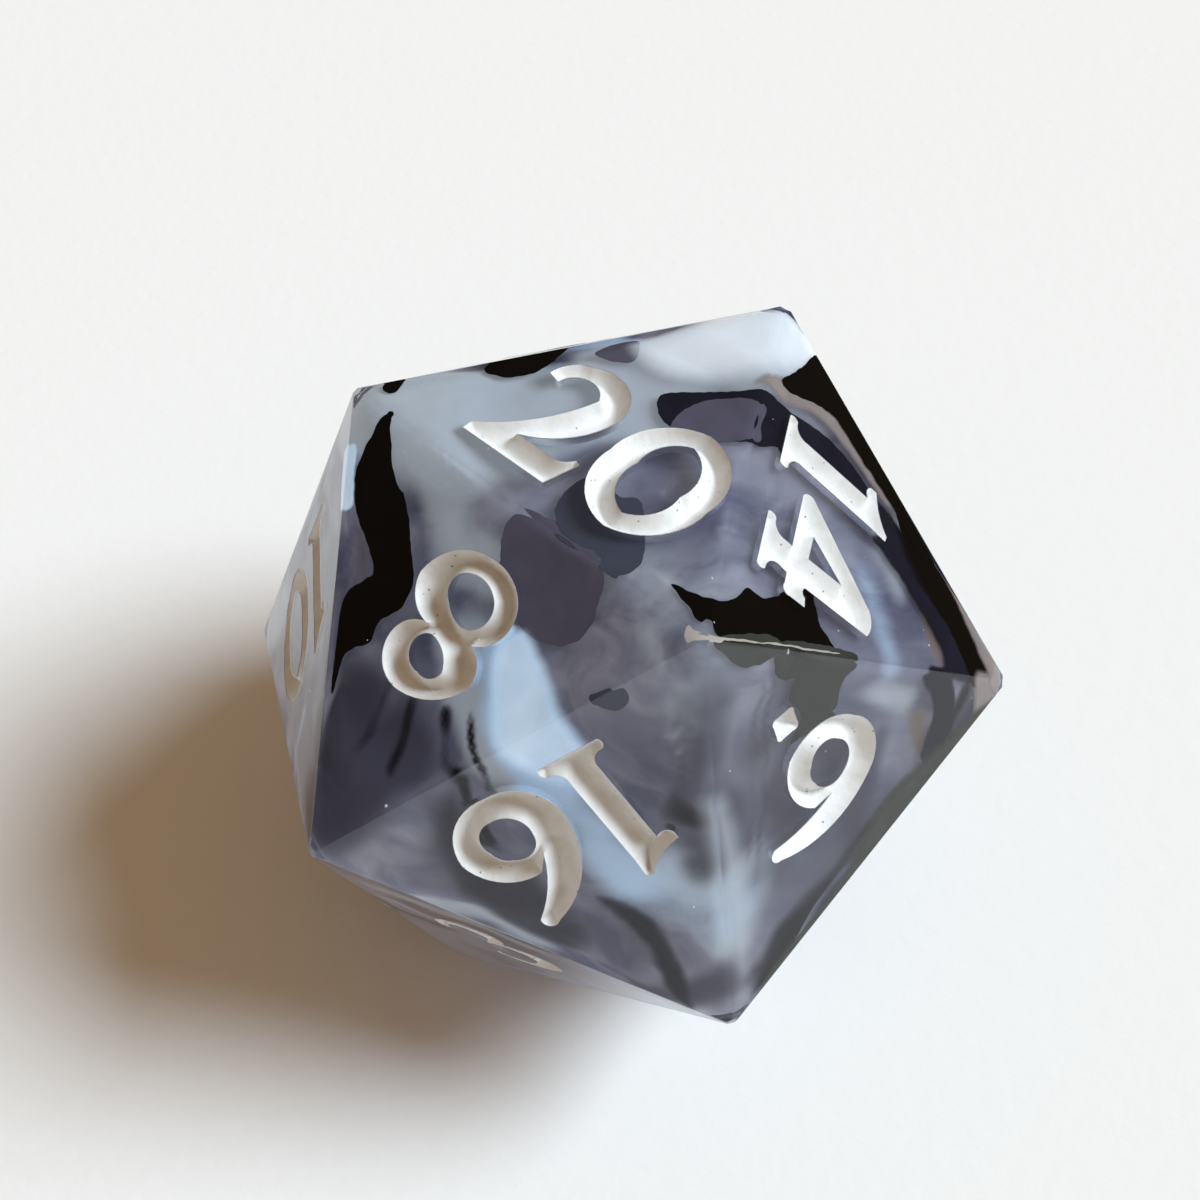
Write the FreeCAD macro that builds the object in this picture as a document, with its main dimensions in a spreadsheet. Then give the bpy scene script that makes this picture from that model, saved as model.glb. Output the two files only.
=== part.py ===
"""Twenty-sided resin die with engraved, paint-filled numerals and drops of pigment cast inside it.

The die rests on face 1 and shows face 20. The origin is the centre of the resting face, +Z points up
through face 20, and +Y is the way the top of the numeral 20 points. Lengths are in millimetres.
"""
import FreeCAD, Part
import math
import os

from FreeCAD import Placement, Rotation, Vector

PARTS_FOLDER = "parts"

# Driving dimensions: alias, value, what it is.
DIMENSIONS = [
    ("face_to_face", 20.0, "distance between opposite faces"),
    ("edge_round", 0.13, "radius along the polished edges"),
    ("corner_reach", 12.46, "distance from the middle of the die to its polished corners"),
    ("numeral_height", 4.4, "height of a numeral"),
    ("groove_depth", 0.55, "depth of an engraved groove"),
    ("paint_recess", 0.06, "how far the paint stays below the face"),
    ("cutter_rise", 1.0, "how far a groove's cutting prism stands out of the face"),
]

# Drops of pigment cast under the faces, each a thin ellipsoid that lies parallel to its face: name, face,
# its middle on that face as x and y, turn of its long axis from the face's x, depth of its middle below
# the face, and half its length, width and thickness.
PIGMENTS = [
    ("ink_curtain", 8, (2.95, -0.2), 108, 1.25, (3.1, 0.85, 0.25)),
    ("ink_patch_upper", 14, (3.6, -2.1), 118, 1.0, (1.6, 0.8, 0.2)),
    ("ink_patch_lower", 6, (2.4, -2.7), 150, 1.05, (1.7, 0.7, 0.2)),
    ("ink_plume", 16, (0.6, 3.4), 82, 1.3, (1.9, 0.55, 0.3)),
    ("ink_rim", 20, (-3.2, 0.6), 62, 1.1, (1.4, 0.5, 0.2)),
    ("ink_crescent", 14, (-1.0, 3.3), 60, 2.0, (3.0, 0.8, 0.3)),
    ("ink_haze", 20, (1.6, -2.4), 10, 1.6, (2.4, 0.9, 0.3)),
    ("ink_veil_back", 18, (0.0, -1.0), 30, 1.5, (3.0, 1.3, 0.3)),
    ("ink_veil_low", 13, (0.5, 0.5), 110, 1.5, (2.6, 1.2, 0.3)),
    ("white_cloud", 20, (-2.9, -1.9), 20, 1.6, (1.7, 1.0, 0.4)),
    ("white_cap", 20, (0.2, 4.2), 90, 1.3, (1.5, 1.0, 0.4)),
    ("white_wisp", 8, (-2.5, 0.1), 165, 1.5, (1.4, 0.5, 0.3)),
    ("white_veil_back", 12, (0.4, 0.6), 60, 1.5, (2.8, 1.2, 0.4)),
    ("white_veil_low", 17, (0.0, 0.5), 70, 1.5, (2.4, 1.2, 0.4)),
    ("blue_cloud", 6, (0.2, 3.6), 80, 1.6, (1.7, 0.9, 0.4)),
]

# The die's corners, named by level (top, upper, lower, bottom) and compass angle in degrees. Each level is
# a triangle of corners whose radius and height are these multiples of half the face-to-face distance.
ROOT_5 = math.sqrt(5)
LEVELS = {
    "T": (3 - ROOT_5, 2),
    "U": (ROOT_5 - 1, ROOT_5 - 1),
    "L": (ROOT_5 - 1, 3 - ROOT_5),
    "B": (3 - ROOT_5, 0),
}

# Each face's corners, first the one that the top of its numeral points to. Opposite faces add up to 21.
FACES = {
    1: ("B270", "B30", "B150"),
    2: ("U150", "T90", "T210"),
    3: ("U270", "L330", "B270"),
    4: ("T90", "U30", "L90"),
    5: ("U150", "L90", "B150"),
    6: ("L330", "U30", "T330"),
    7: ("L210", "B270", "B150"),
    8: ("U270", "T330", "T210"),
    9: ("U30", "B30", "L330"),
    10: ("U270", "L210", "T210"),
    11: ("U30", "L90", "B30"),
    12: ("L210", "T210", "U150"),
    13: ("L90", "B30", "B150"),
    14: ("U30", "T90", "T330"),
    15: ("U150", "L210", "B150"),
    16: ("L330", "T330", "U270"),
    17: ("B270", "L210", "U270"),
    18: ("L90", "U150", "T90"),
    19: ("L330", "B30", "B270"),
    20: ("T90", "T210", "T330"),
}

# Digits are drawn on a grid GRID_HEIGHT units high, baseline at y = 0 and centred on x = 0. An outline is
# a start point and moves: a point is a straight run to it, and a pair of points is an arc through the
# first to the second.
GRID_HEIGHT = 44.0
ONE_DIGIT_BASELINE = -22.2
TWO_DIGIT_BASELINE = -27.4
DIGIT_GAP = 2.0
TWO_DIGIT_SHIFT = 3.0
DOT_CENTRE = (24.7, 4.7)
DOT_REACH = 5.4
DOT_CORNER = 1.3
FOUR_STEM_X = 7.3


def foot(x, stem=4.7, reach=9.7):
    """The moves down the left side of a stem centred on x, round its foot serif and back up."""
    return [
        ((x - stem - 1.1, 4.4), (x - reach + 0.5, 3.2)),
        ((x - reach - 0.5, 1.6), (x - reach + 0.2, 0)),
        (x + reach - 0.2, 0),
        ((x + reach + 0.5, 1.6), (x + reach - 0.5, 3.2)),
        ((x + stem + 1.1, 4.4), (x + stem, 8)),
    ]


def half_turned(outlines):
    """The same outlines turned half round about the middle of the digit."""
    def turn(point):
        return (-point[0], GRID_HEIGHT + 1 - point[1])

    def turn_move(move):
        return turn(move) if is_point(move) else tuple(turn(point) for point in move)

    return [(turn(start), [turn_move(move) for move in moves]) for start, moves in outlines]


def is_point(move):
    return not isinstance(move[0], tuple)


SIX = [
    ((5.8, 45.2), [
        ((-11.6, 32.0), (-17.6, 13.5)),
        ((-12.4, 3.4), (-2.2, 0)),
        ((12.2, 4.6), (17.5, 15.5)),
        ((12.0, 25.2), (-0.2, 28.6)),
        (-4.8, 23.5),
        ((0.9, 33.2), (10.1, 42.3)),
        ((10.0, 44.7), (5.8, 45.2)),
    ]),
    ((3.9, 21.2), [
        ((-2.4, 21.8), (-6.3, 16.6)),
        ((-4.4, 9.2), (1.4, 7.2)),
        ((7.6, 10.0), (8.0, 16.2)),
        ((6.5, 19.6), (3.9, 21.2)),
    ]),
]

DIGITS = {
    0: [
        ((-0.6, 45.0), [
            ((-13.6, 37.4), (-17.5, 22.3)),
            ((-12.2, 6.2), (0.6, 0)),
            ((13.6, 7.6), (17.5, 22.7)),
            ((12.2, 38.8), (-0.6, 45.0)),
        ]),
        ((-1.0, 38.4), [
            ((5.8, 34.0), (8.6, 21.6)),
            ((6.6, 10.8), (1.0, 6.6)),
            ((-5.8, 11.0), (-8.6, 23.4)),
            ((-6.6, 34.2), (-1.0, 38.4)),
        ]),
    ],
    1: [
        ((-4.7, 8), foot(0) + [
            (4.8, 38),
            (5.2, 44.6),
            (3.2, 45),
            ((-3.2, 40.2), (-9.6, 38.1)),
            (-9.6, 36),
            ((-8.5, 34.6), (-6.4, 34.2)),
            (-4.7, 34.9),
            (-4.7, 8),
        ]),
    ],
    2: [
        ((-16.4, 0), [
            (14.8, 0),
            (17.4, 11.6),
            (15.6, 12.2),
            ((12.8, 9.2), (8.0, 8.6)),
            (-3.6, 8.6),
            ((8.6, 18.2), (13.6, 30.8)),
            ((6.2, 43.6), (-7.0, 43.0)),
            ((-12.4, 39.4), (-14.6, 33.0)),
            (-10.2, 31.8),
            ((-3.6, 38.4), (3.9, 33.8)),
            ((-3.6, 17.0), (-16.4, 3.2)),
            (-16.4, 0),
        ]),
    ],
    3: [
        ((-13.8, 35.4), [
            ((-2.6, 44.9), (10.9, 36.0)),
            ((9.6, 29.6), (4.8, 25.6)),
            ((12.8, 21.4), (15.2, 13.4)),
            ((9.6, 3.0), (-2.4, -0.3)),
            ((-10.4, 2.4), (-15.8, 9.4)),
            (-11.8, 12.2),
            ((-8.0, 7.2), (-2.2, 5.8)),
            ((5.6, 13.6), (-4.8, 22.0)),
            (-4.9, 25.2),
            ((1.6, 29.2), (2.2, 35.0)),
            ((-4.0, 39.4), (-9.8, 33.0)),
            (-13.8, 35.4),
        ]),
    ],
    4: [
        ((FOUR_STEM_X - 4.7, 8), foot(FOUR_STEM_X) + [
            (12.4, 10.8),
            (16.2, 10.9),
            ((18.5, 11.2), (18.9, 13.4)),
            (18.6, 19.3),
            (15.8, 18.9),
            ((14.4, 17.6), (12.5, 18.2)),
            (11.2, 43.6),
            ((7.4, 44.8), (2.4, 43.2)),
            (-18.3, 16.0),
            ((-19.2, 13.4), (-16.8, 10.9)),
            (2.6, 10.8),
            (FOUR_STEM_X - 4.7, 8),
        ]),
        ((2.4, 17.3), [(-6.4, 17.5), (1.8, 31.2), (2.4, 17.3)]),
    ],
    5: [
        ((-10.8, 43.6), [
            (12.0, 43.6),
            (14.8, 45.2),
            (11.6, 36.0),
            (-5.4, 36.0),
            (-5.8, 28.6),
            ((9.2, 26.6), (15.4, 14.8)),
            ((10.4, 3.6), (-2.2, -0.3)),
            ((-10.4, 2.4), (-15.8, 9.4)),
            (-11.8, 12.2),
            ((-8.0, 7.2), (-2.2, 5.8)),
            ((5.8, 13.8), (-3.4, 22.4)),
            (-11.4, 20.4),
            (-10.8, 43.6),
        ]),
    ],
    6: SIX,
    7: [
        ((-15.6, 32.6), [
            (-13.8, 45.2),
            ((-12.2, 43.9), (-9.8, 43.6)),
            (16.4, 43.6),
            (16.2, 40.2),
            ((3.4, 21.4), (0.2, 0)),
            (-8.6, 0),
            ((-4.8, 18.4), (6.6, 35.2)),
            (-7.6, 35.2),
            ((-11.2, 34.6), (-13.2, 32.4)),
            (-15.6, 32.6),
        ]),
    ],
    8: [
        ((5.8, 25.0), [
            ((14.2, 34.0), (9.6, 43.4)),
            ((6.2, 44.8), (2.4, 45.0)),
            ((-8.4, 41.0), (-15.6, 33.0)),
            ((-15.2, 26.8), (-9.8, 22.5)),
            ((-17.2, 14.2), (-15.2, 5.2)),
            ((-9.4, 1.0), (-1.8, 0)),
            ((9.6, 4.2), (15.8, 14.6)),
            ((13.4, 21.0), (5.8, 25.0)),
        ]),
        ((0.4, 37.8), [
            ((6.4, 34.0), (2.4, 26.6)),
            ((-3.6, 29.0), (-6.5, 33.6)),
            ((-4.4, 37.0), (0.4, 37.8)),
        ]),
        ((-3.8, 20.4), [
            ((-10.4, 15.2), (-8.8, 8.6)),
            ((-3.0, 5.8), (3.8, 7.6)),
            ((5.9, 12.4), (3.2, 16.8)),
            ((0.2, 19.2), (-3.8, 20.4)),
        ]),
    ],
    9: half_turned(SIX),
}


def make_sheet(doc):
    """The spreadsheet of driving dimensions, one row each: name, value, meaning."""
    sheet = doc.addObject("Spreadsheet::Sheet", "Sizes")
    for row, (alias, value, meaning) in enumerate(DIMENSIONS, start=1):
        sheet.set(f"A{row}", alias)
        sheet.set(f"B{row}", str(value))
        sheet.set(f"C{row}", meaning)
        sheet.setAlias(f"B{row}", alias)
    first_row = len(DIMENSIONS) + 1
    for index, (name, _, _, _, depth, halves) in enumerate(PIGMENTS):
        values = zip(("depth", "length", "width", "thickness"), (depth, *halves))
        for offset, (side, value) in enumerate(values):
            cell = f"B{first_row + 4 * index + offset}"
            sheet.set(cell, str(value))
            sheet.setAlias(cell, f"{name}_{side}")
    doc.recompute()
    return sheet


def corner(sheet, name):
    """The place of a sharp corner of the die."""
    radius, height = LEVELS[name[0]]
    angle = math.radians(int(name[1:]))
    half = sheet.face_to_face / 2
    return Vector(radius * math.cos(angle), radius * math.sin(angle), height) * half


def face_placement(sheet, number):
    """A frame on a face: origin at its centre, x to the numeral's right, y to its top, z outwards."""
    corners = [corner(sheet, name) for name in FACES[number]]
    centre = (corners[0] + corners[1] + corners[2]) / 3
    outwards = (centre - Vector(0, 0, sheet.face_to_face / 2)).normalize()
    upwards = (corners[0] - centre).normalize()
    return Placement(centre, Rotation(upwards.cross(outwards), upwards, outwards, "ZYX"))


def polished_blank(sheet):
    """The die before engraving: a regular icosahedron with rounded edges and polished corners.

    A smaller icosahedron grown outwards by the edge radius has rounded edges, and a ball trims its
    corners.
    """
    middle = Vector(0, 0, sheet.face_to_face / 2)
    shrink = 1 - sheet.edge_round / middle.z
    faces = []
    for names in FACES.values():
        corners = [middle + (corner(sheet, name) - middle) * shrink for name in names]
        faces.append(Part.Face(Part.makePolygon(corners + corners[:1])))
    core = Part.Solid(Part.Shell(faces))
    grown = core.makeOffsetShape(sheet.edge_round, 1e-4, join=0)
    ball = Part.makeSphere(sheet.corner_reach, middle)
    return grown.common(ball)


def width_limits(digit):
    """The left and right ends of a digit's outline on the grid."""
    points = []
    for start, moves in DIGITS[digit]:
        points.append(start)
        for move in moves:
            points.extend([move] if is_point(move) else move)
    return min(x for x, _ in points), max(x for x, _ in points)


def dot():
    """The dot that tells 6 from 9: a square on its corner, with its corners rounded."""
    x, y = DOT_CENTRE
    flat = DOT_REACH - DOT_CORNER
    around = [(0, 1), (1, 0), (0, -1), (-1, 0)]
    moves = []
    for index, (across, up) in enumerate(around):
        next_across, next_up = around[(index + 1) % 4]
        tip = (x + across * (DOT_REACH - 0.4), y + up * (DOT_REACH - 0.4))
        leave = (x + across * flat + next_across * DOT_CORNER, y + up * flat + next_up * DOT_CORNER)
        arrive = (x + next_across * flat + across * DOT_CORNER, y + next_up * flat + up * DOT_CORNER)
        moves += [(tip, leave), arrive]
    start = moves[-1]
    return [(start, moves)]


def numeral_outlines(number):
    """The outlines of a face's numeral, with the x and y that each is moved by, on the grid."""
    digits = [int(character) for character in str(number)]
    if len(digits) == 1:
        marks = DIGITS[number] + (dot() if number in (6, 9) else [])
        return [(outline, 0, ONE_DIGIT_BASELINE) for outline in marks]
    limits = [width_limits(digit) for digit in digits]
    total = sum(right - left for left, right in limits) + DIGIT_GAP
    pen = TWO_DIGIT_SHIFT - total / 2
    placed = []
    for digit, (left, right) in zip(digits, limits):
        placed += [(outline, pen - left, TWO_DIGIT_BASELINE) for outline in DIGITS[digit]]
        pen += right - left + DIGIT_GAP
    return placed


def trace(sketch, outline, across, up, scale):
    """Draws one outline in a sketch as lines and arcs joined end to end."""
    def place(point):
        return Vector((point[0] + across) * scale, (point[1] + up) * scale, 0)

    start, moves = outline
    here = place(start)
    geometry = []
    for move in moves:
        if is_point(move):
            there = place(move)
            geometry.append(Part.LineSegment(here, there))
        else:
            there = place(move[1])
            geometry.append(Part.Arc(here, place(move[0]), there))
        here = there
    sketch.addGeometry(geometry, False)


def numeral_body(doc, sheet, name, number, length_expression):
    """A body that stands a numeral up from its groove's floor, in place on its face."""
    body = doc.addObject("PartDesign::Body", name)
    body.Label = name
    body.AllowCompound = True
    plane = next(item for item in body.Origin.OriginFeatures if item.Role == "XY_Plane")
    sketch = body.newObject("Sketcher::SketchObject", f"{name}_outline")
    sketch.AttachmentSupport = [(plane, "")]
    sketch.MapMode = "FlatFace"
    sketch.setExpression("AttachmentOffset.Base.z", "-Sizes.groove_depth")
    scale = sheet.numeral_height / GRID_HEIGHT
    for outline, across, up in numeral_outlines(number):
        trace(sketch, outline, across, up, scale)
    pad = body.newObject("PartDesign::Pad", f"{name}_pad")
    pad.Profile = sketch
    pad.setExpression("Length", length_expression)
    body.Placement = face_placement(sheet, number)
    return body


def pigment_drop(doc, sheet, name, number, middle, turn):
    """An ellipsoid of pigment that lies parallel to a face, below it."""
    drop = doc.addObject("Part::Ellipsoid", name)
    drop.Label = name
    drop.setExpression("Radius1", f"Sizes.{name}_thickness")
    drop.setExpression("Radius2", f"Sizes.{name}_length")
    drop.setExpression("Radius3", f"Sizes.{name}_width")
    below = Vector(*middle, -sheet.get(f"{name}_depth"))
    drop.Placement = face_placement(sheet, number) * Placement(below, Rotation(Vector(0, 0, 1), turn))
    return drop


def check(doc, sub_parts):
    """Stops the build if any object failed or a sub-part has no valid shape."""
    failed = [item.Name for item in doc.Objects if {"Invalid", "Error"} & set(item.State)]
    bad = [item.Label for item in sub_parts if item.Shape.isNull() or not item.Shape.isValid()]
    if failed or bad:
        raise RuntimeError(f"failed objects {failed}, bad shapes {bad}")


def main():
    doc = FreeCAD.newDocument("Die")
    sheet = make_sheet(doc)
    blank = doc.addObject("Part::Feature", "polished_blank")
    blank.Shape = polished_blank(sheet)

    paints = []
    cutters = []
    for number in FACES:
        paints.append(numeral_body(doc, sheet, f"paint_{number:02d}", number,
                                   "Sizes.groove_depth - Sizes.paint_recess"))
        cutters.append(numeral_body(doc, sheet, f"groove_{number:02d}", number,
                                    "Sizes.groove_depth + Sizes.cutter_rise"))
    drops = [pigment_drop(doc, sheet, name, number, middle, turn)
             for name, number, middle, turn, _, _ in PIGMENTS]
    doc.recompute()

    removed = doc.addObject("Part::Compound", "grooves_and_cavities")
    removed.Links = cutters + drops
    resin = doc.addObject("Part::Cut", "resin_body")
    resin.Label = "resin_body"
    resin.Base = blank
    resin.Tool = removed
    doc.recompute()

    sub_parts = [resin] + paints + drops
    check(doc, sub_parts)
    os.makedirs(PARTS_FOLDER, exist_ok=True)
    for item in sub_parts:
        item.Shape.exportStep(os.path.join(PARTS_FOLDER, f"{item.Label}.step"))
        print(f"{item.Label}: {len(item.Shape.Solids)} solids, {item.Shape.Volume:.3f} mm3")


main()
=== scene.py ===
"""Twenty-sided die cast in clear smoky resin, with pigment veils inside and painted numerals.

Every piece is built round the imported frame, in metres, and rides on its one body.
"""
import math
import random

import bmesh
import bpy
import numpy as np
from bpy.props import FloatProperty, FloatVectorProperty, IntProperty, PointerProperty
from mathutils import Matrix, Vector, noise
from mathutils.geometry import delaunay_2d_cdt


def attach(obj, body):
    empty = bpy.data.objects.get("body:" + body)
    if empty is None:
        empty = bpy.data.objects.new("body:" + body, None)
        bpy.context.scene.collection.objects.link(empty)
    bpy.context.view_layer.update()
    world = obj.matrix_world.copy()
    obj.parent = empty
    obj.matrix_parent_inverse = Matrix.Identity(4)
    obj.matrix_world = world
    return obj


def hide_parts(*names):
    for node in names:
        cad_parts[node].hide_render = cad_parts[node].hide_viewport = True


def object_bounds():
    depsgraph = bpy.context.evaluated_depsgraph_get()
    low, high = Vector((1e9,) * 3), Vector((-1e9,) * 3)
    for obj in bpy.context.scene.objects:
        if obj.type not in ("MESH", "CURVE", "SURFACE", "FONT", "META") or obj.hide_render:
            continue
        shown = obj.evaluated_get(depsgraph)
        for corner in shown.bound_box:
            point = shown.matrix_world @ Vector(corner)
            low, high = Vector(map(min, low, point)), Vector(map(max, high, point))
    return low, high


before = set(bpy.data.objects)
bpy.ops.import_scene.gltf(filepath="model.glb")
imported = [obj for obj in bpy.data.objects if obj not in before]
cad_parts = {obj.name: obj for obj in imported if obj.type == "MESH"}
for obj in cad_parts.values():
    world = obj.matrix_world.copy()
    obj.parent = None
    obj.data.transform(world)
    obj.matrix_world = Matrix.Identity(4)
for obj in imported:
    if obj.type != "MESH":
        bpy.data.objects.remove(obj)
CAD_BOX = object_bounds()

bl_info = {
    "name": "Smoky resin die",
    "version": (1, 0, 0),
    "blender": (4, 5, 0),
    "location": "3D View > Sidebar > Die",
    "description": "Builds a twenty-sided resin die, its painted numerals, its pigment and a studio",
    "category": "Object",
}

MM = 0.001
BODY = "root"
PIGMENTS = ("milk", "pearl", "blue", "earth", "dusk", "ink")
# Where the smoky middle comes near the surface, a film lies at this share of its depth, and a deep film
# at up to this much more.
FILM_SHARE = 0.3
DEEP_FILM_SHARE = 0.5
# A painted glow: the pigment, and the back of the paint, give off light in their own colour, standing in for light
# that scatters through the whole casting and reaches them from every side.
PAINTED_GLOW = 0.55
PAINTED_GLOW_TINT = (0.95, 1.0, 1.06)
HALF = (CAD_BOX[1][2] - CAD_BOX[0][2]) / 2
MIDDLE = Vector((0, 0, CAD_BOX[0][2] + HALF))

# The die's corners by level and compass angle: each level's radius and height, in halves of the distance
# between opposite faces.
ROOT_5 = math.sqrt(5)
LEVELS = {
    "T": (3 - ROOT_5, 2),
    "U": (ROOT_5 - 1, ROOT_5 - 1),
    "L": (ROOT_5 - 1, 3 - ROOT_5),
    "B": (3 - ROOT_5, 0),
}

# Each face's corners, first the one that the top of its numeral points to.
FACES = {
    1: ("B270", "B30", "B150"),
    2: ("U150", "T90", "T210"),
    3: ("U270", "L330", "B270"),
    4: ("T90", "U30", "L90"),
    5: ("U150", "L90", "B150"),
    6: ("L330", "U30", "T330"),
    7: ("L210", "B270", "B150"),
    8: ("U270", "T330", "T210"),
    9: ("U30", "B30", "L330"),
    10: ("U270", "L210", "T210"),
    11: ("U30", "L90", "B30"),
    12: ("L210", "T210", "U150"),
    13: ("L90", "B30", "B150"),
    14: ("U30", "T90", "T330"),
    15: ("U150", "L210", "B150"),
    16: ("L330", "T330", "U270"),
    17: ("B270", "L210", "U270"),
    18: ("L90", "U150", "T90"),
    19: ("L330", "B30", "B270"),
    20: ("T90", "T210", "T330"),
}

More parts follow.
